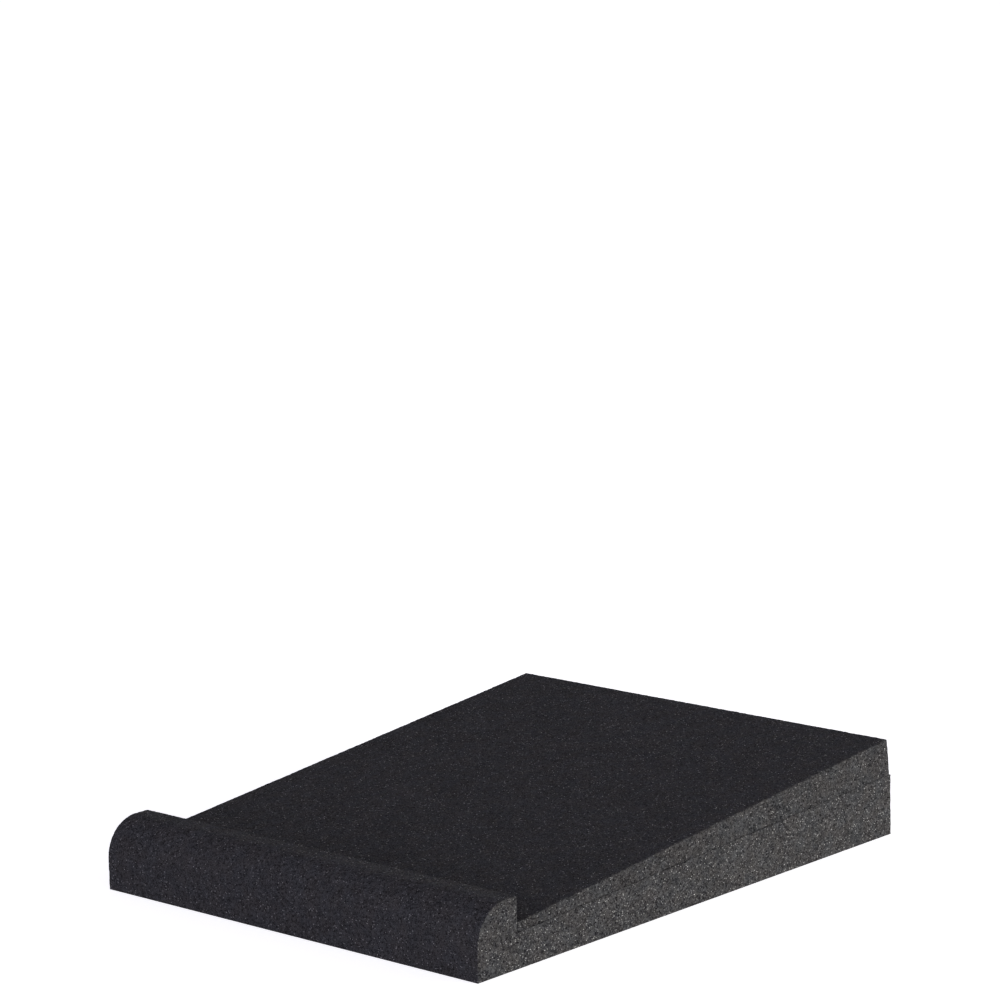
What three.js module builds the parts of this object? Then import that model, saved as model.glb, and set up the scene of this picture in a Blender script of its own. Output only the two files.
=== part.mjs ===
// A speaker isolation pad of open-cell foam, cut in two pieces: a base with a rounded stop lip
// along its front, and a loose wedge insert that lies on the base's sloping seat, behind the lip.
// Millimetres, +Z up, -Y to the front, where the lip is. The origin is the middle of the underside.
import * as THREE from "three";

// The base's plan
const PAD_WIDTH = 270;
const PAD_DEPTH = 347;

// The stop lip: a quarter round on its front edge, and a flat behind that on its top
const LIP_HEIGHT = 38.4;
const LIP_RADIUS = 21;
const LIP_FLAT = 9.2;
const LIP_ARC_STEPS = 32;

// The base's seat slopes up from the foot of the lip to the rear face
const SEAT_FRONT_HEIGHT = 19;
const SEAT_REAR_HEIGHT = 34.7;

// The insert: its thickness is measured square to its top
const INSERT_FRONT_THICKNESS = 5;
const INSERT_SIDE_INSET = 0.3;
const INSERT_REAR_INSET = 1;

// The gap from the insert to the seat below it and to the lip in front of it
const INSERT_CLEARANCE = 0.3;

const FOAM_ROUGHNESS = 0.95;
const BASE_COLOUR = 0x39393b;
const INSERT_COLOUR = 0x3b3b3d;

const frontY = -PAD_DEPTH / 2;
const rearY = PAD_DEPTH / 2;
const lipWallY = frontY + LIP_RADIUS + LIP_FLAT;
const seatSlope = Math.atan2(SEAT_REAR_HEIGHT - SEAT_FRONT_HEIGHT, rearY - lipWallY);

// The insert tapers at the seat's own angle: turned end for end it levels the pad's top,
// and the way round that it lies here it doubles the slope.
const insertTaper = seatSlope;
const topSlope = seatSlope + insertTaper;

// Carries a section along X, centred on it. The section's first axis becomes +Y, its second +Z.
function carriedAlongX(section, width) {
  const geometry = new THREE.ExtrudeGeometry(section, {
    depth: width,
    bevelEnabled: false,
    curveSegments: LIP_ARC_STEPS / 2, // an arc takes two steps for each of these
  });
  const sectionToYZ = new THREE.Matrix4().makeBasis(
    new THREE.Vector3(0, 1, 0),
    new THREE.Vector3(0, 0, 1),
    new THREE.Vector3(1, 0, 0),
  );
  return geometry.translate(0, 0, -width / 2).applyMatrix4(sectionToYZ);
}

function foam(colour) {
  return new THREE.MeshStandardMaterial({
    color: colour,
    roughness: FOAM_ROUGHNESS,
    metalness: 0,
  });
}

// The base's section, from the front bottom corner: the underside, the upright rear,
// the sloping seat, the stop lip's upright wall and flat top, and its quarter round.
function basePad() {
  const roundCentreY = frontY + LIP_RADIUS;
  const roundCentreZ = LIP_HEIGHT - LIP_RADIUS;
  const section = new THREE.Shape();
  section.moveTo(frontY, 0);
  section.lineTo(rearY, 0);
  section.lineTo(rearY, SEAT_REAR_HEIGHT);
  section.lineTo(lipWallY, SEAT_FRONT_HEIGHT);
  section.lineTo(lipWallY, LIP_HEIGHT);
  section.lineTo(roundCentreY, LIP_HEIGHT);
  section.absarc(roundCentreY, roundCentreZ, LIP_RADIUS, Math.PI / 2, Math.PI);
  section.closePath();
  const mesh = new THREE.Mesh(carriedAlongX(section, PAD_WIDTH), foam(BASE_COLOUR));
  mesh.name = "base_pad";
  return mesh;
}

// The height of the insert's underside above the floor, where it clears the seat.
function insertFootHeight(y) {
  const seatHeight = SEAT_FRONT_HEIGHT + (y - lipWallY) * Math.tan(seatSlope);
  return seatHeight + INSERT_CLEARANCE / Math.cos(seatSlope);
}

// The insert's section has its flat top along the first axis and both ends square to that top.
// Its origin is the top's front edge, which stands at the clearance from the lip.
function wedgeInsert() {
  const topFrontY = lipWallY + INSERT_CLEARANCE;
  const footFrontY = topFrontY + INSERT_FRONT_THICKNESS * Math.sin(topSlope);
  const footFrontZ = insertFootHeight(footFrontY);
  const topFrontZ = footFrontZ + INSERT_FRONT_THICKNESS * Math.cos(topSlope);

  const footLength = (rearY - INSERT_REAR_INSET - footFrontY) / Math.cos(seatSlope);
  const topLength = footLength * Math.cos(insertTaper);
  const rearThickness = INSERT_FRONT_THICKNESS + footLength * Math.sin(insertTaper);

  const section = new THREE.Shape();
  section.moveTo(0, 0);
  section.lineTo(0, -INSERT_FRONT_THICKNESS);
  section.lineTo(topLength, -rearThickness);
  section.lineTo(topLength, 0);
  section.closePath();
  const width = PAD_WIDTH - 2 * INSERT_SIDE_INSET;
  const mesh = new THREE.Mesh(carriedAlongX(section, width), foam(INSERT_COLOUR));
  mesh.name = "wedge_insert";
  mesh.rotation.x = topSlope;
  mesh.position.set(0, topFrontY, topFrontZ);
  return mesh;
}

const pad = new THREE.Group();
pad.add(basePad(), wedgeInsert());
export default pad;
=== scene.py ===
"""Dresses a speaker isolation pad of charcoal open-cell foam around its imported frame.

Two blocks of cut foam are built: the base with its rounded stop lip, and the loose wedge insert
that lies on the base's sloping seat. Metres throughout, +Z up, -Y to the front, where the lip is.
"""

import logging
from dataclasses import dataclass, field
from enum import Enum
from typing import ClassVar, Optional, Union

import bmesh
import bpy
import numpy as np
from mathutils import Matrix, Vector


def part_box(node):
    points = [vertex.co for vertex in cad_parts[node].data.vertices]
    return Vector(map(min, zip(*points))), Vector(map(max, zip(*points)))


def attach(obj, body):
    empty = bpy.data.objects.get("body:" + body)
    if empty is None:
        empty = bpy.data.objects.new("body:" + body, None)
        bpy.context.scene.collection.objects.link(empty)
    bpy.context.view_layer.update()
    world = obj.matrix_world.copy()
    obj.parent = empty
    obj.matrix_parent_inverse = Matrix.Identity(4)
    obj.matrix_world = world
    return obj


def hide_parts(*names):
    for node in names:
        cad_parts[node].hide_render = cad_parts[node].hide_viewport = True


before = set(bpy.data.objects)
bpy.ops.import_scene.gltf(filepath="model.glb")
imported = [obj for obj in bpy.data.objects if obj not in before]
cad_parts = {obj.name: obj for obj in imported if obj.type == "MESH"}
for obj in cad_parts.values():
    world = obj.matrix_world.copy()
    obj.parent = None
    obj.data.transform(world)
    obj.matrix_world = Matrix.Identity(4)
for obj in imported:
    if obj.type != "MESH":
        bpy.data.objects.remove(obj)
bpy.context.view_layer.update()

LOG = logging.getLogger("speaker_isolation_pad")
MM = 0.001
ROOT_BODY = "root"
HIDDEN = "hidden"
CUT_END = "cut_end"

Colour = tuple[float, float, float]
Point = tuple[float, float, float]
Feed = Union[bpy.types.NodeSocket, Colour, float]


class End(Enum):
    """The two end faces of a block that is carried along X."""

    LEFT = -1
    RIGHT = 1


class Ray(Enum):
    """The kinds of ray that see the white backdrop, by the Light Path output that names them."""

    CAMERA = "Is Camera Ray"
    GLOSSY = "Is Glossy Ray"
    TRANSMISSION = "Is Transmission Ray"


def run(start: np.ndarray, stop: np.ndarray, share: np.ndarray) -> np.ndarray:
    """Points along the straight line from start to stop.

    Args:
        start: the first point.
        stop: the last point.
        share: the share of the way, from 0 to 1, of each point.

    Returns:
        One row for each share: start + share * (stop - start).
    """
    return start + share[:, None] * (stop - start)


def edged_shares(cells: int, length: float, edge: float) -> np.ndarray:
    """Shares of a length that is cut into equal cells, with one narrow cell more at each end.

    Args:
        cells: how many equal cells lie between the narrow ones.
        length: the whole length.
        edge: the width of a narrow cell.

    Returns:
        cells + 3 shares from 0 to 1.
    """
    inner = np.linspace(edge, length - edge, cells + 1) / length
    return np.concatenate([[0.0], inner, [1.0]])


def coons_patch(low: np.ndarray, high: np.ndarray, left: np.ndarray, right: np.ndarray) -> np.ndarray:
    """Fills four border curves that meet at their ends.

    The formula is Coons': the blend of low and high, plus the blend of left and right, less the
    blend of the four corners.

    Args:
        low: the border at row 0, one point for each column.
        high: the border at the last row.
        left: the border at column 0, one point for each row.
        right: the border at the last column.

    Returns:
        Points by row and column.
    """
    u = np.linspace(0, 1, len(low))[None, :, None]
    v = np.linspace(0, 1, len(left))[:, None, None]
    between_rows = (1 - v) * low[None] + v * high[None]
    between_columns = (1 - u) * left[:, None] + u * right[:, None]
    corners = (1 - v) * ((1 - u) * low[0] + u * low[-1]) + v * ((1 - u) * high[0] + u * high[-1])
    return between_rows + between_columns - corners


def wave_noise(points: np.ndarray, shortest: float, longest: float, waves: int, seed: int) -> np.ndarray:
    """Smooth band-limited noise: the mean of plane sine waves in random directions.

    Args:
        points: one place in each row.
        shortest: the shortest wavelength.
        longest: the longest wavelength.
        waves: how many waves are added.
        seed: what the directions, lengths and phases are drawn from.

    Returns:
        One value for each point, with a spread of about 1.
    """
    draw = np.random.default_rng(seed)
    ways = draw.normal(size=(waves, 3))
    ways /= np.linalg.norm(ways, axis=1)[:, None]
    lengths = draw.uniform(shortest, longest, waves)
    phases = draw.uniform(0, 2 * np.pi, waves)
    turns = points @ (ways * (2 * np.pi / lengths)[:, None]).T + phases
    return np.sin(turns).sum(axis=1) * np.sqrt(2 / waves)


def grid_faces(rows: int, columns: int) -> np.ndarray:
    """The quads of a grid whose points are numbered row by row.

    Args:
        rows: how many rows of points.
        columns: how many points in a row.

    Returns:
        Four point numbers for each quad.
    """
    corner = (np.arange(rows - 1)[:, None] * columns + np.arange(columns - 1)).ravel()
    return np.stack([corner, corner + 1, corner + columns + 1, corner + columns], axis=1)


def thinned_faces(rows: int, columns: int, step: int) -> list[list[int]]:
    """The faces of a hidden grid: fine along its border, and coarse inside.

    The outermost ring of cells stays as it is. Inside it, step by step cells become one face, and
    a face that meets the ring keeps all of the ring's points along that edge.

    Args:
        rows: how many rows of points.
        columns: how many points in a row.
        step: how many cells across a coarse face is.

    Returns:
        Lists of point numbers, one for each face.
    """
    numbers = np.arange(rows * columns).reshape(rows, columns)
    ring = grid_faces(rows, columns).reshape(rows - 1, columns - 1, 4)
    inside = np.zeros((rows - 1, columns - 1), bool)
    inside[1:-1, 1:-1] = True
    faces = ring[~inside].tolist()
    for top in range(1, rows - 2, step):
        for left in range(1, columns - 2, step):
            bottom, right = top + step, left + step
            upper = numbers[top, left : right + 1 : 1 if top == 1 else step]
            outer = numbers[top : bottom + 1 : 1 if right == columns - 2 else step, right]
            lower = numbers[bottom, left : right + 1 : 1 if bottom == rows - 2 else step]
            inner = numbers[top : bottom + 1 : 1 if left == 1 else step, left]
            ring_of_four = [upper[:-1], outer[:-1], lower[:0:-1], inner[:0:-1]]
            faces.append(np.concatenate(ring_of_four).tolist())
    return faces


class MeshMaker:
    """Gathers surface patches, and joins them into one closed mesh."""

    def __init__(self) -> None:
        """Starts with no patch."""
        self.points: list[np.ndarray] = []
        self.faces: list[list[int]] = []
        self.hidden: list[bool] = []
        self.ends: list[bool] = []
        self.count = 0

    def add(self, patch: np.ndarray, step: int = 1, end: bool = False) -> None:
        """Adds one patch.

        Args:
            patch: places by row and column.
            step: how many cells across a face is inside a hidden patch, or 1 on a shown one.
            end: whether the patch is part of an end face.
        """
        rows, columns = patch.shape[:2]
        if step == 1:
            faces = grid_faces(rows, columns).tolist()
        else:
            faces = thinned_faces(rows, columns, step)
        self.faces += [[number + self.count for number in face] for face in faces]
        self.hidden += [step > 1] * len(faces)
        self.ends += [end] * len(faces)
        self.points.append(patch.reshape(-1, 3))
        self.count += rows * columns

    def closed_mesh(self, name: str, weld: float) -> bpy.types.Mesh:
        """Welds the patches along their shared borders.

        Args:
            name: the mesh's name.
            weld: points closer than this become one.

        Returns:
            The mesh, closed, with its faces pointing outwards.
        """
        mesh = bpy.data.meshes.new(name)
        mesh.from_pydata(np.concatenate(self.points), [], self.faces)
        mesh.attributes.new(HIDDEN, "BOOLEAN", "FACE").data.foreach_set("value", self.hidden)
        mesh.attributes.new(CUT_END, "FLOAT", "FACE").data.foreach_set("value", np.float32(self.ends))
        made = bmesh.new()
        made.from_mesh(mesh)
        loose = [vertex for vertex in made.verts if not vertex.link_faces]
        bmesh.ops.delete(made, geom=loose, context="VERTS")
        bmesh.ops.remove_doubles(made, verts=made.verts[:], dist=weld)
        bmesh.ops.recalc_face_normals(made, faces=made.faces[:])
        made.to_mesh(mesh)
        made.free()
        mesh.polygons.foreach_set("use_smooth", np.ones(len(mesh.polygons), bool))
        mesh.update()
        return mesh


@dataclass(frozen=True)
class CutSurface:
    """The relief that a saw and the cells leave on cut foam.

    The relief is two bands of wave noise along the surface's own normal. Points on an edge are
    drawn in along their normal, which eases the edge.
    """

    cell_relief: float = 0.055 * MM
    cell_span: tuple[float, float] = (1.7 * MM, 3.4 * MM)
    saw_relief: float = 0.03 * MM
    saw_span: tuple[float, float] = (9 * MM, 30 * MM)
    edge_draw: float = 0.14 * MM
    flat_limit: float = 0.93
    edge_limit: float = float(np.sqrt(0.5))
    round_degrees: float = 15.0
    waves: int = 56
    seed: int = 11

    def apply(self, mesh: bpy.types.Mesh) -> None:
        """Moves the mesh's points.

        Args:
            mesh: a closed mesh, whose faces point outwards.
        """
        count = len(mesh.vertices)
        places = np.empty(count * 3)
        normals = np.empty(count * 3)
        mesh.vertices.foreach_get("co", places)
        mesh.vertices.foreach_get("normal", normals)
        places = places.reshape(-1, 3)
        normals = normals.reshape(-1, 3)
        fine = self.cell_relief * wave_noise(places, *self.cell_span, self.waves, self.seed)
        broad = self.saw_relief * wave_noise(places, *self.saw_span, self.waves, self.seed + 1)
        largest = np.abs(normals).max(axis=1)
        on_edge = np.clip((self.flat_limit - largest) / (self.flat_limit - self.edge_limit), 0, 1)
        drawn = self.edge_draw * np.where(self.on_round(mesh), 0.0, on_edge)
        relief = np.where(self.on_hidden(mesh), 0.0, fine + broad)
        places += normals * (relief - drawn)[:, None]
        mesh.vertices.foreach_set("co", places.ravel())
        mesh.update()

    @staticmethod
    def face_corners(mesh: bpy.types.Mesh) -> tuple[np.ndarray, np.ndarray]:
        """Reads the corners of all faces.

        Args:
            mesh: the mesh.

        Returns:
            The point that each corner is on, and the face that it belongs to.
        """
        points = np.empty(len(mesh.loops), np.int32)
        mesh.loops.foreach_get("vertex_index", points)
        totals = np.empty(len(mesh.polygons), np.int32)
        mesh.polygons.foreach_get("loop_total", totals)
        return points, np.repeat(np.arange(len(totals)), totals)

    def on_hidden(self, mesh: bpy.types.Mesh) -> np.ndarray:
        """Finds the points of the faces that lie on something, which stay flat, and unmarks them.

        Args:
            mesh: the mesh, whose hidden faces are marked.

        Returns:
            True for each point of a hidden face.
        """
        points, faces = self.face_corners(mesh)
        hidden = np.empty(len(mesh.polygons), bool)
        mesh.attributes[HIDDEN].data.foreach_get("value", hidden)
        found = np.zeros(len(mesh.vertices), bool)
        found[points[hidden[faces]]] = True
        mesh.attributes.remove(mesh.attributes[HIDDEN])
        return found

    def on_round(self, mesh: bpy.types.Mesh) -> np.ndarray:
        """Finds the points of a smooth round, whose faces turn little from one to the next.

        Args:
            mesh: the mesh.

        Returns:
            True for each point whose faces' normals all lie near its own.
        """
        points, faces = self.face_corners(mesh)
        face_normals = np.empty(len(mesh.polygons) * 3)
        mesh.polygons.foreach_get("normal", face_normals)
        vertex_normals = np.empty(len(mesh.vertices) * 3)
        mesh.vertices.foreach_get("normal", vertex_normals)
        by_corner = face_normals.reshape(-1, 3)[faces]
        agreement = (by_corner * vertex_normals.reshape(-1, 3)[points]).sum(axis=1)
        least = np.ones(len(mesh.vertices))
        np.minimum.at(least, points, agreement)
        return least > np.cos(np.radians(self.round_degrees))


def new_group(name: str, inputs: dict[str, str], outputs: dict[str, str]) -> bpy.types.ShaderNodeTree:
    """Makes an empty shader node group with named sockets.

    Args:
        name: the group's name.
        inputs: each input's name and socket type.
        outputs: each output's name and socket type.

    Returns:
        The group.
    """
    group = bpy.data.node_groups.new(name, "ShaderNodeTree")
    for label, kind in inputs.items():
        group.interface.new_socket(label, in_out="INPUT", socket_type=kind)
    for label, kind in outputs.items():
        group.interface.new_socket(label, in_out="OUTPUT", socket_type=kind)
    return group


class Nodes:
    """Places nodes in one tree, and links them."""

    def __init__(self, tree: bpy.types.NodeTree) -> None:
        """Empties the tree.

        Args:
            tree: a material's, world's or group's node tree.
        """
        self.tree = tree
        tree.nodes.clear()

    def put(self, kind: str, inputs: Optional[dict[Union[str, int], Feed]] = None,
            **settings: object) -> bpy.types.Node:
        """Places one node.

        Args:
            kind: the node's type name.
            inputs: values for its inputs, or outputs of other nodes to link them to.
            settings: the node's own properties.

        Returns:
            The node.
        """
        node = self.tree.nodes.new(kind)
        for name, value in settings.items():
            setattr(node, name, value)
        for name, value in (inputs or {}).items():
            socket = node.inputs[name]
            if isinstance(value, bpy.types.NodeSocket):
                self.tree.links.new(value, socket)
            else:
                socket.default_value = value
        return node

    def sums(self, operation: str, *values: Feed) -> bpy.types.NodeSocket:
        """Places a Math node.

        Args:
            operation: what it works out.
            values: its inputs in order, as numbers or outputs.

        Returns:
            Its output.
        """
        return self.put("ShaderNodeMath", dict(enumerate(values)), operation=operation).outputs[0]

    def vectors(self, operation: str, *values: Feed, scale: Optional[Feed] = None) -> bpy.types.Node:
        """Places a Vector Math node.

        Args:
            operation: what it works out.
            values: its vector inputs in order, as numbers or outputs.
            scale: the factor, where the operation has one.

        Returns:
            The node.
        """
        inputs = dict(enumerate(values))
        if scale is not None:
            inputs["Scale"] = scale
        return self.put("ShaderNodeVectorMath", inputs, operation=operation)

    def spread(self, value: Feed, low: float, high: float, to_low: Feed, to_high: Feed,
               smooth: bool = True) -> bpy.types.NodeSocket:
        """Places a Map Range node.

        Args:
            value: the output that is mapped.
            low: the value that becomes to_low.
            high: the value that becomes to_high.
            to_low: the result at low.
            to_high: the result at high.
            smooth: whether the step between them is a smooth one.

        Returns:
            Its output.
        """
        inputs = {"Value": value, "From Min": low, "From Max": high, "To Min": to_low, "To Max": to_high}
        way = "SMOOTHSTEP" if smooth else "LINEAR"
        return self.put("ShaderNodeMapRange", inputs, interpolation_type=way).outputs["Result"]

    def mixed(self, share: Feed, first: Feed, second: Feed) -> bpy.types.NodeSocket:
        """Places a colour Mix node.

        Args:
            share: how much of the second colour.
            first: the first colour.
            second: the second colour.

        Returns:
            Its output.
        """
        node = self.put("ShaderNodeMix", data_type="RGBA")
        for socket, value in zip((node.inputs[0], node.inputs[6], node.inputs[7]), (share, first, second)):
            if isinstance(value, bpy.types.NodeSocket):
                self.tree.links.new(value, socket)
            elif isinstance(value, tuple):
                socket.default_value = (*value, 1.0)
            else:
                socket.default_value = value
        return node.outputs[2]


@dataclass
class FoamEffects:
    """The shader node groups that both blocks' finishes use, each built once.

    Lengths are in cells, apart from the mottle's, whose noise scales are per metre.
    """

    bend_scale: float = 0.7
    bend_reach: float = 1.3
    strut_core: float = 0.02
    strut_reach: float = 0.17
    hollow_reach: float = 0.34
    shallowest: float = 0.35
    tone_power: float = 1.6
    fleck_core: float = 0.18
    fleck_reach: float = 0.46
    fleck_power: float = 2.0
    dullest_fleck: float = 0.14
    mottle_scale: float = 45.0
    mottle_roughness: float = 0.65
    tint_scale: float = 110.0
    coolest: float = 0.32
    warmest: float = 0.68

    def __post_init__(self) -> None:
        """Builds the groups."""
        self.cells = self.open_cells()
        self.glint_flecks = self.painted_glints()
        self.mottle = self.block_mottle()

    def open_cells(self) -> bpy.types.ShaderNodeTree:
        """Open cells: a warped Voronoi pattern whose walls are struts and whose middles are hollow.

        Returns:
            The group, with Vector, Frequency and Lean in, and Strut, Height and Tone out. Lean is
            how far each cell's floor is tilted, its own way. Tone is the cell's own, from 0 to 1,
            with more dark cells than light ones.
        """
        group = new_group(
            "open_cells",
            {"Vector": "NodeSocketVector", "Frequency": "NodeSocketFloat", "Lean": "NodeSocketFloat"},
            {"Strut": "NodeSocketFloat", "Height": "NodeSocketFloat", "Tone": "NodeSocketFloat"},
        )
        nodes = Nodes(group)
        given = nodes.put("NodeGroupInput")
        scaled = nodes.vectors("SCALE", given.outputs["Vector"], scale=given.outputs["Frequency"]).outputs[0]
        bend = nodes.put("ShaderNodeTexNoise", {"Vector": scaled, "Scale": self.bend_scale, "Detail": 1.0})
        centred = nodes.vectors("SUBTRACT", bend.outputs["Color"], (0.5, 0.5, 0.5)).outputs[0]
        warped = nodes.vectors("MULTIPLY_ADD", centred, (self.bend_reach,) * 3, scaled).outputs[0]
        wall = nodes.put("ShaderNodeTexVoronoi", {"Vector": warped, "Scale": 1.0}, feature="DISTANCE_TO_EDGE")
        core = nodes.put("ShaderNodeTexVoronoi", {"Vector": warped, "Scale": 1.0})
        chance = nodes.put("ShaderNodeSeparateColor", {0: core.outputs["Color"]})
        strut = nodes.spread(wall.outputs["Distance"], self.strut_core, self.strut_reach, 1.0, 0.0)
        depth = nodes.spread(chance.outputs[1], 0.0, 1.0, self.shallowest, 1.0, smooth=False)
        hollow = nodes.spread(wall.outputs["Distance"], 0.0, self.hollow_reach, 0.0, 1.0)
        inside = nodes.vectors("SUBTRACT", warped, core.outputs["Position"]).outputs[0]
        way = nodes.vectors("SUBTRACT", core.outputs["Color"], (0.5, 0.5, 0.5)).outputs[0]
        facet = nodes.vectors("DOT_PRODUCT", inside, way).outputs["Value"]
        tilted = nodes.sums("MULTIPLY", facet, given.outputs["Lean"])
        sunk = nodes.sums("MULTIPLY", hollow, depth)
        height = nodes.sums("SUBTRACT", tilted, sunk)
        tone = nodes.sums("POWER", chance.outputs[0], self.tone_power)
        nodes.put("NodeGroupOutput", {"Strut": strut, "Height": height, "Tone": tone})
        return group

    def painted_glints(self) -> bpy.types.ShaderNodeTree:
        """Painted glints: bright specks on the cores of a few chosen cells, which stand in for cut struts
        that catch the light.

        Returns:
            The group, with Vector, Frequency and Share in, and Fleck out: the mask of the painted glint
            specks.
        """
        group = new_group(
            "painted_glints",
            {"Vector": "NodeSocketVector", "Frequency": "NodeSocketFloat", "Share": "NodeSocketFloat"},
            {"Fleck": "NodeSocketFloat"},
        )
        nodes = Nodes(group)
        given = nodes.put("NodeGroupInput")
        grains = nodes.put("ShaderNodeTexVoronoi", {"Vector": given.outputs["Vector"],
                                                    "Scale": given.outputs["Frequency"]})
        chance = nodes.put("ShaderNodeSeparateColor", {0: grains.outputs["Color"]})
        chosen = nodes.sums("LESS_THAN", chance.outputs[0], given.outputs["Share"])
        core = nodes.spread(grains.outputs["Distance"], self.fleck_core, self.fleck_reach, 1.0, 0.0)
        rarity = nodes.sums("POWER", chance.outputs[1], self.fleck_power)
        shine = nodes.spread(rarity, 0.0, 1.0, self.dullest_fleck, 1.0, smooth=False)
        glint_fleck = nodes.sums("MULTIPLY", nodes.sums("MULTIPLY", chosen, core), shine)
        nodes.put("NodeGroupOutput", {"Fleck": glint_fleck})
        return group

    def block_mottle(self) -> bpy.types.ShaderNodeTree:
        """Uneven dyeing: two bands of soft noise, one for tone and one for warmth.

        Returns:
            The group, with Vector, Level and Amount in, and Tone (about Level) and Warmth (0 to 1)
            out.
        """
        group = new_group(
            "block_mottle",
            {"Vector": "NodeSocketVector", "Level": "NodeSocketFloat", "Amount": "NodeSocketFloat"},
            {"Tone": "NodeSocketFloat", "Warmth": "NodeSocketFloat"},
        )
        nodes = Nodes(group)
        given = nodes.put("NodeGroupInput")
        broad = nodes.put("ShaderNodeTexNoise", {"Vector": given.outputs["Vector"],
                                                 "Scale": self.mottle_scale, "Detail": 3.0,
                                                 "Roughness": self.mottle_roughness})
        tint = nodes.put("ShaderNodeTexNoise", {"Vector": given.outputs["Vector"],
                                                "Scale": self.tint_scale, "Detail": 2.0})
        swing = nodes.sums("MULTIPLY", nodes.sums("SUBTRACT", broad.outputs["Fac"], 0.5),
                           given.outputs["Amount"])
        tone = nodes.sums("ADD", swing, given.outputs["Level"])
        warmth = nodes.spread(tint.outputs["Fac"], self.coolest, self.warmest, 0.0, 1.0)
        nodes.put("NodeGroupOutput", {"Tone": tone, "Warmth": warmth})
        return group


@dataclass(frozen=True)
class FoamFinish:
    """Charcoal open-cell polyurethane foam, as a saw leaves it.

    The cells are drawn out along the block's depth. The two end faces get stronger painted glints
    and deeper relief than the faces that run along X, as a side that a key light catches would show.
    """

    name: str
    shift: Point = (0.0, 0.0, 0.0)
    stretch: Point = (1.0, 0.82, 1.0)
    # Painted shade: the hollows are darker than the struts, as shade falls in the cell pits; the spread
    # between the two hollow colours is the cells' own random tone.
    dark_shaded_hollow: Colour = (0.027, 0.027, 0.027)
    light_shaded_hollow: Colour = (0.0605, 0.06, 0.0605)
    strut_colour: Colour = (0.074, 0.0735, 0.0745)
    warm_tint: Colour = (1.03, 0.995, 0.985)
    cool_tint: Colour = (0.975, 0.995, 1.03)
    # Painted glint: the near-white speck colour stands in for light that cut struts catch.
    painted_glint_colour: Colour = (0.43, 0.423, 0.415)
    # The overall colour level; the insert's lower value is painted shade that darkens the whole wedge.
    dye_and_shade: float = 1.0
    cell: float = 1.15 * MM
    glint_fleck: float = 0.9 * MM
    fleck_share: float = 0.2
    # The share of painted glint and of relief on the faces along X; the end faces get all of both.
    along_x_glint_and_relief: float = 0.75
    mottle: float = 0.35
    lean: float = 8.6
    depth: float = 0.42 * MM
    matt_roughness: float = 1.0
    strut_roughness: float = 0.9
    fleck_roughness: float = 0.35
    fleck_full: float = 0.4
    specular: float = 0.012

    def material(self, effects: FoamEffects) -> bpy.types.Material:
        """Builds the material.

        Args:
            effects: the shared node groups.

        Returns:
            The material, which reads Object coordinates.
        """
        made = bpy.data.materials.new(self.name)
        made.use_nodes = True
        nodes = Nodes(made.node_tree)
        place = nodes.put("ShaderNodeTexCoord")
        moved = nodes.put("ShaderNodeMapping", {"Vector": place.outputs["Object"], "Location": self.shift,
                                                "Scale": self.stretch})
        vector = moved.outputs["Vector"]
        cells = nodes.put("ShaderNodeGroup", node_tree=effects.cells)
        glint_flecks = nodes.put("ShaderNodeGroup", node_tree=effects.glint_flecks)
        mottle = nodes.put("ShaderNodeGroup", node_tree=effects.mottle)
        for group in (cells, glint_flecks, mottle):
            made.node_tree.links.new(vector, group.inputs["Vector"])
        cells.inputs["Frequency"].default_value = 1 / self.cell
        cells.inputs["Lean"].default_value = self.lean
        glint_flecks.inputs["Frequency"].default_value = 1 / self.glint_fleck
        glint_flecks.inputs["Share"].default_value = self.fleck_share
        mottle.inputs["Level"].default_value = self.dye_and_shade
        mottle.inputs["Amount"].default_value = self.mottle

        # Painted shade in the cell pits: each hollow, its tone random per cell, is darker than the struts
        # around it.
        hollow = nodes.mixed(cells.outputs["Tone"], self.dark_shaded_hollow, self.light_shaded_hollow)
        foam = nodes.mixed(cells.outputs["Strut"], hollow, self.strut_colour)
        tint = nodes.mixed(mottle.outputs["Warmth"], self.cool_tint, self.warm_tint)
        tinted = nodes.vectors("MULTIPLY", foam, tint).outputs[0]
        # Scaled by the overall level, which on the insert is painted shade.
        dyed_and_shaded = nodes.vectors("SCALE", tinted, scale=mottle.outputs["Tone"]).outputs[0]
        cut = nodes.put("ShaderNodeAttribute", attribute_type="GEOMETRY", attribute_name=CUT_END)
        # Painted glints are full on the end faces and weaker on the faces along X, as on a side that the key
        # light catches; the relief is scaled alike.
        end_glint_and_relief = nodes.spread(cut.outputs["Fac"], 0.0, 1.0, self.along_x_glint_and_relief, 1.0, smooth=False)
        glint_fleck = nodes.sums("MULTIPLY", glint_flecks.outputs["Fleck"], end_glint_and_relief)
        # Painted glints: the specks are mixed towards a near-white colour; their lower roughness and bump are
        # real.
        colour = nodes.mixed(glint_fleck, dyed_and_shaded, self.painted_glint_colour)
        polish = nodes.sums("MAXIMUM", cells.outputs["Strut"], cells.outputs["Tone"])
        foam_roughness = nodes.spread(polish, 0.0, 1.0, self.matt_roughness, self.strut_roughness)
        roughness = nodes.spread(glint_fleck, 0.0, self.fleck_full, foam_roughness, self.fleck_roughness)
        relief = nodes.sums("MULTIPLY", cells.outputs["Height"], end_glint_and_relief)
        height = nodes.sums("ADD", relief, glint_fleck)
        bump = nodes.put("ShaderNodeBump", {"Height": height, "Distance": self.depth, "Strength": 1.0})
        shader = nodes.put(
            "ShaderNodeBsdfPrincipled",
            {"Base Color": colour, "Roughness": roughness, "Normal": bump.outputs["Normal"],
             "Specular IOR Level": self.specular},
        )
        nodes.put("ShaderNodeOutputMaterial", {"Surface": shader.outputs["BSDF"]})
        return made


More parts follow.
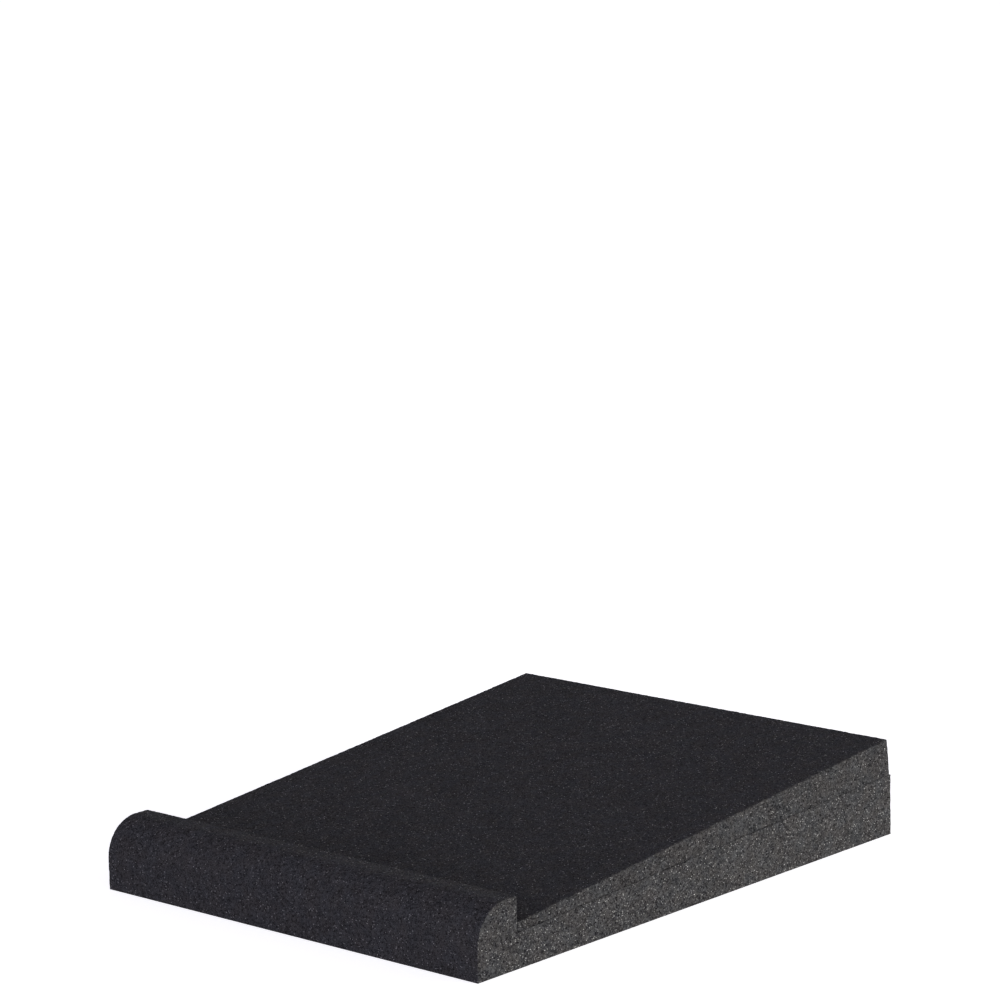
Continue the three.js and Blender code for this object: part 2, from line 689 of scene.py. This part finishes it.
@dataclass
class FoamBlock:
    """A block of foam whose section in the YZ plane is carried along X.

    The section is one or more patches of points by row and column, so that each end face is a
    clean grid, and the patches' outer borders are the lines that are carried along X.
    """

    node: str
    finish: FoamFinish
    stations: int
    surface: CutSurface = field(default_factory=CutSurface)
    fill: float = 1.0

    EDGE_CELL: ClassVar[float] = 0.35 * MM
    HIDDEN_STEP: ClassVar[int] = 6
    WELD: ClassVar[float] = 0.004 * MM

    def __post_init__(self) -> None:
        """Takes the block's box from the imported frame."""
        low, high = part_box(self.node)
        self.low = np.array(low)
        self.high = np.array(high)

    @property
    def width(self) -> float:
        """The block's length along X."""
        return float(self.high[0] - self.low[0])

    def across(self) -> np.ndarray:
        """The places along X at which the section stands, with a narrow cell at each end."""
        shares = edged_shares(self.stations, self.width, self.EDGE_CELL)
        return self.low[0] + shares * self.width

    def carried(self, line: np.ndarray) -> np.ndarray:
        """Carries a line of the section along X: the point (x, line(t)) for each x and t.

        Args:
            line: places in the YZ plane, one in each row.

        Returns:
            Places by station and point.
        """
        across = self.across()
        patch = np.empty((len(across), len(line), 3))
        patch[:, :, 0] = across[:, None]
        patch[:, :, 1:] = line[None]
        return patch

    def end_face(self, patch: np.ndarray, end: End) -> np.ndarray:
        """Stands a patch of the section in an end face.

        Args:
            patch: places in the YZ plane, by row and column.
            end: which end of the block.

        Returns:
            Places in space, by row and column.
        """
        x = self.low[0] if end is End.LEFT else self.high[0]
        face = np.empty((*patch.shape[:2], 3))
        face[:, :, 0] = x
        face[:, :, 1:] = patch
        return face

    def section(self) -> list[np.ndarray]:
        """The section's patches, each by row and column."""
        raise NotImplementedError

    def shown_lines(self, patches: list[np.ndarray]) -> list[np.ndarray]:
        """The lines of the section's outline whose faces show."""
        raise NotImplementedError

    def hidden_lines(self, patches: list[np.ndarray]) -> list[np.ndarray]:
        """The lines of the section's outline whose faces lie on something or under it."""
        raise NotImplementedError

    def build(self, effects: FoamEffects) -> bpy.types.Object:
        """Args:
            effects: the shared node groups.

        Returns:
            The block's object.
        """
        patches = self.section()
        maker = MeshMaker()
        for end in End:
            for patch in patches:
                maker.add(self.end_face(patch, end), end=True)
        for line in self.shown_lines(patches):
            maker.add(self.carried(line))
        for line in self.hidden_lines(patches):
            maker.add(self.carried(line), step=self.HIDDEN_STEP)
        mesh = maker.closed_mesh(f"{self.node}_foam", self.WELD)
        self.surface.apply(mesh)
        mesh.materials.append(self.finish.material(effects))
        block = bpy.data.objects.new(f"{self.node}_foam", mesh)
        bpy.context.scene.collection.objects.link(block)
        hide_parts(self.node)
        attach(block, ROOT_BODY)
        return block


@dataclass
class BasePad(FoamBlock):
    """The base: a flat underside, a sloping seat, and the stop lip with its quarter round."""

    lip_radius: float = 21 * MM
    lip_flat: float = 9.2 * MM
    seat_front: float = 19 * MM
    seat_rear: float = 34.7 * MM
    seat_rows: int = 30
    wall_rows: int = 24
    lip_columns: int = 36
    seat_columns: int = 360

    @property
    def lip_wall(self) -> float:
        """The place along Y of the lip's upright rear wall."""
        return float(self.low[1]) + self.lip_radius + self.lip_flat

    @property
    def seat_slope(self) -> float:
        """The seat's angle to the floor."""
        rise = self.seat_rear - self.seat_front
        return float(np.arctan2(rise, self.high[1] - self.lip_wall))

    def lip_arc(self, start: float, stop: float, share: np.ndarray) -> np.ndarray:
        """Points on the lip's quarter round: centre + radius * (cos a, sin a).

        Args:
            start: the first angle.
            stop: the last angle.
            share: the share of the way of each point.

        Returns:
            One row for each share.
        """
        centre = np.array([self.low[1] + self.lip_radius, self.high[2] - self.lip_radius])
        angle = start + share * (stop - start)
        return centre + self.lip_radius * np.stack([np.cos(angle), np.sin(angle)], axis=1)

    def along_front(self, rows: int) -> np.ndarray:
        """The outline from the front bottom edge, up the front face, to the middle of the round.

        Args:
            rows: how many points.

        Returns:
            The points, evenly spaced apart from the narrow first cell.
        """
        upright = float(self.high[2]) - self.lip_radius
        half_arc = self.lip_radius * np.pi / 4
        far = np.concatenate([[0.0], np.linspace(self.EDGE_CELL, upright + half_arc, rows - 1)])
        low = run(np.array([self.low[1], 0.0]), np.array([self.low[1], upright]),
                  far[far <= upright] / upright)
        high = self.lip_arc(np.pi, np.pi * 3 / 4, (far[far > upright] - upright) / half_arc)
        return np.concatenate([low, high])

    def along_lip_top(self, columns: int) -> np.ndarray:
        """The outline from the middle of the round, over the flat, to the lip's rear edge.

        Args:
            columns: how many points.

        Returns:
            The points, evenly spaced apart from the narrow last cell.
        """
        half_arc = self.lip_radius * np.pi / 4
        whole = half_arc + self.lip_flat
        far = np.concatenate([np.linspace(0.0, whole - self.EDGE_CELL, columns - 1), [whole]])
        top = float(self.high[2])
        low = self.lip_arc(np.pi * 3 / 4, np.pi / 2, far[far <= half_arc] / half_arc)
        flat_start = np.array([self.low[1] + self.lip_radius, top])
        flat_stop = np.array([self.lip_wall, top])
        high = run(flat_start, flat_stop, (far[far > half_arc] - half_arc) / self.lip_flat)
        return np.concatenate([low, high])

    def section(self) -> list[np.ndarray]:
        """The lip's patch and the seat's patch, which share the upright line below the seat."""
        rows = self.seat_rows + self.wall_rows
        foot = np.array([self.lip_wall, self.seat_front])
        below_foot = np.array([self.lip_wall, 0.0])
        lip_rear = np.array([self.lip_wall, float(self.high[2])])
        below = run(below_foot, foot, edged_shares(self.seat_rows - 2, self.seat_front, self.EDGE_CELL))
        wall_length = float(self.high[2]) - self.seat_front
        wall = run(foot, lip_rear, edged_shares(self.wall_rows - 2, wall_length, self.EDGE_CELL))
        front = self.along_front(rows + 1)
        lip_top = self.along_lip_top(self.lip_columns + 3)
        lip_depth = self.lip_wall - float(self.low[1])
        lip_shares = edged_shares(self.lip_columns, lip_depth, self.EDGE_CELL)
        lip_low = run(np.array([self.low[1], 0.0]), below_foot, lip_shares)
        lip = coons_patch(lip_low, lip_top, front, np.concatenate([below, wall[1:]]))

        seat_depth = float(self.high[1]) - self.lip_wall
        seat_shares = edged_shares(self.seat_columns, seat_depth, self.EDGE_CELL)
        rear_low = np.array([float(self.high[1]), 0.0])
        rear_high = np.array([float(self.high[1]), self.seat_rear])
        rear = run(rear_low, rear_high, edged_shares(self.seat_rows - 2, self.seat_rear, self.EDGE_CELL))
        seat_low = run(below_foot, rear_low, seat_shares)
        seat_high = run(foot, rear_high, seat_shares)
        return [lip, coons_patch(seat_low, seat_high, below, rear)]

    def shown_lines(self, patches: list[np.ndarray]) -> list[np.ndarray]:
        """The front, the lip's top, its rear wall and the rear face."""
        lip, seat = patches
        return [lip[:, 0], lip[-1], lip[self.seat_rows :, -1], seat[:, -1]]

    def hidden_lines(self, patches: list[np.ndarray]) -> list[np.ndarray]:
        """The underside below the lip and below the seat, and the seat."""
        lip, seat = patches
        return [lip[0], seat[0], seat[-1]]


@dataclass(kw_only=True)
class WedgeInsert(FoamBlock):
    """The wedge that lies on the seat: a flat top, a tapering underside and square-cut ends.

    It stands off the seat by front_lift and rear_lift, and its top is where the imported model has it.
    """

    base: BasePad
    front_thickness: float = 5 * MM
    rear_inset: float = 1 * MM
    lip_clearance: float = 0.3 * MM
    front_lift: float = 0.26 * MM
    rear_lift: float = 0.05 * MM
    rows: int = 14
    columns: int = 318

    def section(self) -> list[np.ndarray]:
        """One patch between the underside, which all but lies on the seat, and the top."""
        base = self.base
        slope = base.seat_slope
        top_slope = 2 * slope
        along_seat = np.array([np.cos(slope), np.sin(slope)])
        off_seat = np.array([-np.sin(slope), np.cos(slope)])
        along_top = np.array([np.cos(top_slope), np.sin(top_slope)])
        off_top = np.array([-np.sin(top_slope), np.cos(top_slope)])

        seat_foot = np.array([base.lip_wall, base.seat_front])
        foot_y = base.lip_wall + self.lip_clearance + self.front_thickness * np.sin(top_slope)
        front_low = seat_foot + along_seat * (foot_y - base.lip_wall) / np.cos(slope)
        foot_length = (base.high[1] - self.rear_inset - foot_y) / np.cos(slope)
        rear_low = front_low + along_seat * foot_length
        packed_gap = off_seat * self.lip_clearance
        front_high = front_low + packed_gap + off_top * self.front_thickness
        rear_thickness = self.front_thickness + foot_length * np.sin(slope)
        rear_high = rear_low + packed_gap + off_top * rear_thickness
        front_low = front_low + off_seat * self.front_lift
        rear_low = rear_low + off_seat * self.rear_lift

        lengthwise = edged_shares(self.columns, foot_length, self.EDGE_CELL)
        low = run(front_low, rear_low, lengthwise)
        high = run(front_high, rear_high, lengthwise)
        front = run(front_low, front_high, edged_shares(self.rows, self.front_thickness, self.EDGE_CELL))
        rear = run(rear_low, rear_high, edged_shares(self.rows, rear_thickness, self.EDGE_CELL))
        return [coons_patch(low, high, front, rear)]

    def shown_lines(self, patches: list[np.ndarray]) -> list[np.ndarray]:
        """The front end, the top and the rear end."""
        (body,) = patches
        return [body[:, 0], body[-1], body[:, -1]]

    def hidden_lines(self, patches: list[np.ndarray]) -> list[np.ndarray]:
        """The underside."""
        (body,) = patches
        return [body[0]]


@dataclass(frozen=True)
class SoftBox:
    """One square area light."""

    name: str
    place: Point
    aim: Point
    side: float
    power: float
    colour: Colour = (1.0, 1.0, 1.0)

    def hang(self) -> bpy.types.Object:
        """Places the light, turned to its aim."""
        lamp = bpy.data.lights.new(self.name, "AREA")
        lamp.shape = "SQUARE"
        lamp.size = self.side
        lamp.energy = self.power
        lamp.color = self.colour
        light = bpy.data.objects.new(self.name, lamp)
        bpy.context.scene.collection.objects.link(light)
        way = Vector(self.aim) - Vector(self.place)
        turn = way.to_track_quat("-Z", "Y").to_matrix().to_4x4()
        light.matrix_world = Matrix.Translation(self.place) @ turn
        return light


@dataclass(frozen=True)
class PhotoCamera:
    """The camera of the photograph, as its straight edges give it.

    The camera looks along its own -Z. Its axes come from an azimuth round the object, an
    elevation above the floor and a roll, and its place is given along those axes.
    """

    name: str = "photo_camera"
    frame_pixels: float = 1000.0
    focal_pixels: float = 3902.0
    azimuth: float = 41.986
    elevation: float = 10.775
    roll: float = -1.211
    aside: float = -3.914 * MM
    above: float = 199.89 * MM
    distance: float = 2159.44 * MM
    sensor_mm: float = 36.0
    clip_start: float = 0.05
    clip_end: float = 60.0

    def axes(self) -> np.ndarray:
        """The camera's X, Y and Z axes in the object's frame, one in each row."""
        azimuth, elevation, roll = np.radians([self.azimuth, self.elevation, self.roll])
        back = np.array([np.sin(azimuth) * np.cos(elevation), -np.cos(azimuth) * np.cos(elevation),
                         np.sin(elevation)])
        right = np.array([np.cos(azimuth), np.sin(azimuth), 0.0])
        up = np.cross(back, right)
        turned_right = np.cos(roll) * right + np.sin(roll) * up
        turned_up = np.cos(roll) * up - np.sin(roll) * right
        return np.array([turned_right, turned_up, back])

    def stand(self) -> bpy.types.Object:
        """Places the camera and makes it the scene's."""
        axes = self.axes()
        data = bpy.data.cameras.new(self.name)
        data.sensor_width = self.sensor_mm
        data.lens = self.focal_pixels * self.sensor_mm / self.frame_pixels
        data.clip_start = self.clip_start
        data.clip_end = self.clip_end
        camera = bpy.data.objects.new(self.name, data)
        bpy.context.scene.collection.objects.link(camera)
        place = axes.T @ np.array([self.aside, self.above, self.distance])
        turn = Matrix(axes.T.tolist()).to_4x4()
        camera.matrix_world = Matrix.Translation(place.tolist()) @ turn
        bpy.context.scene.camera = camera
        return camera


@dataclass
class Studio:
    """A white floor and backdrop, soft light from low in front, a key light and a weak rear fill."""

    floor_half_side: float = 12.0
    floor_albedo: float = 0.84
    floor_glow: float = 0.73
    sky_low: Colour = (1.12, 1.085, 1.3)
    sky_high: Colour = (0.02, 0.02, 0.024)
    front_bias: float = 0.71
    lights: tuple[SoftBox, ...] = (
        SoftBox("key_softbox", (2.45, 1.15, 0.26), (0.0, 0.0, 0.03), 0.48, 105.0, (1.0, 0.99, 0.925)),
        SoftBox("rear_fill", (-1.3, 2.3, 0.24), (0.0, 0.0, 0.03), 0.45, 8.0, (0.97, 0.985, 1.0)),
    )

    def build(self) -> None:
        """Builds the world, the floor and the lights, and sets the view transform."""
        bpy.context.scene.view_settings.view_transform = "Standard"
        self.light_world()
        self.lay_floor()
        for light in self.lights:
            light.hang()

    @staticmethod
    def seen_white(nodes: Nodes) -> bpy.types.NodeSocket:
        """Tells the rays that see the white backdrop.

        Args:
            nodes: the tree in which the backdrop's shader is.

        Returns:
            1 for such a ray, else 0.
        """
        path = nodes.put("ShaderNodeLightPath")
        seen = path.outputs[Ray.CAMERA.value]
        for ray in (Ray.GLOSSY, Ray.TRANSMISSION):
            seen = nodes.sums("MAXIMUM", seen, path.outputs[ray.value])
        return seen

    def light_world(self) -> None:
        """Makes the sky: white to the eye, and a soft light, weaker overhead and to the rear."""
        world = bpy.data.worlds.new("studio")
        bpy.context.scene.world = world
        world.use_nodes = True
        nodes = Nodes(world.node_tree)
        place = nodes.put("ShaderNodeTexCoord")
        way = nodes.put("ShaderNodeSeparateXYZ", {0: place.outputs["Generated"]})
        up = nodes.spread(way.outputs["Z"], 0.0, 1.0, 0.0, 1.0, smooth=False)
        light = nodes.mixed(up, self.sky_low, self.sky_high)
        bias = nodes.spread(way.outputs["Y"], -1.0, 1.0, 1 + self.front_bias, 1 - self.front_bias,
                            smooth=False)
        biased = nodes.vectors("SCALE", light, scale=bias).outputs[0]
        seen = nodes.mixed(self.seen_white(nodes), biased, (1.0, 1.0, 1.0))
        sky = nodes.put("ShaderNodeBackground", {"Color": seen, "Strength": 1.0})
        nodes.put("ShaderNodeOutputWorld", {"Surface": sky.outputs[0]})

    def lay_floor(self) -> bpy.types.Object:
        """Lays the floor, which looks white and keeps the object's shadow.

        Returns:
            The floor's object.
        """
        half = self.floor_half_side
        corners = [(-half, -half, 0), (half, -half, 0), (half, half, 0), (-half, half, 0)]
        mesh = bpy.data.meshes.new("floor")
        mesh.from_pydata(corners, [], [(0, 1, 2, 3)])
        paint = bpy.data.materials.new("floor_paint")
        paint.use_nodes = True
        nodes = Nodes(paint.node_tree)
        matt = nodes.put("ShaderNodeBsdfDiffuse", {"Color": (*[self.floor_albedo] * 3, 1.0)})
        glow = nodes.put("ShaderNodeEmission", {
            "Strength": nodes.sums("MULTIPLY", self.seen_white(nodes), self.floor_glow)})
        both = nodes.put("ShaderNodeAddShader", {0: matt.outputs[0], 1: glow.outputs[0]})
        nodes.put("ShaderNodeOutputMaterial", {"Surface": both.outputs[0]})
        mesh.materials.append(paint)
        floor = bpy.data.objects.new("floor", mesh)
        bpy.context.scene.collection.objects.link(floor)
        return floor


def main() -> None:
    """Builds the pad's two blocks and the studio round them."""
    logging.basicConfig(level=logging.INFO, format="%(name)s: %(message)s")
    PhotoCamera().stand()
    Studio().build()
    effects = FoamEffects()
    base = BasePad("base_pad", FoamFinish("charcoal_foam_base", dye_and_shade=1.02), stations=342)
    # The insert's level of 0.91 is painted shade: it darkens the whole wedge, as if the speaker on the pad
    # shaded it.
    insert_foam = FoamFinish("charcoal_foam_insert", shift=(0.0137, 0.0071, 0.0193), dye_and_shade=0.91)
    insert = WedgeInsert("wedge_insert", insert_foam, stations=216, base=base)
    for block in (base, insert):
        piece = block.build(effects)
        LOG.info("%s: %d points, %d faces", piece.name, len(piece.data.vertices), len(piece.data.polygons))


if __name__ == "__main__":
    main()
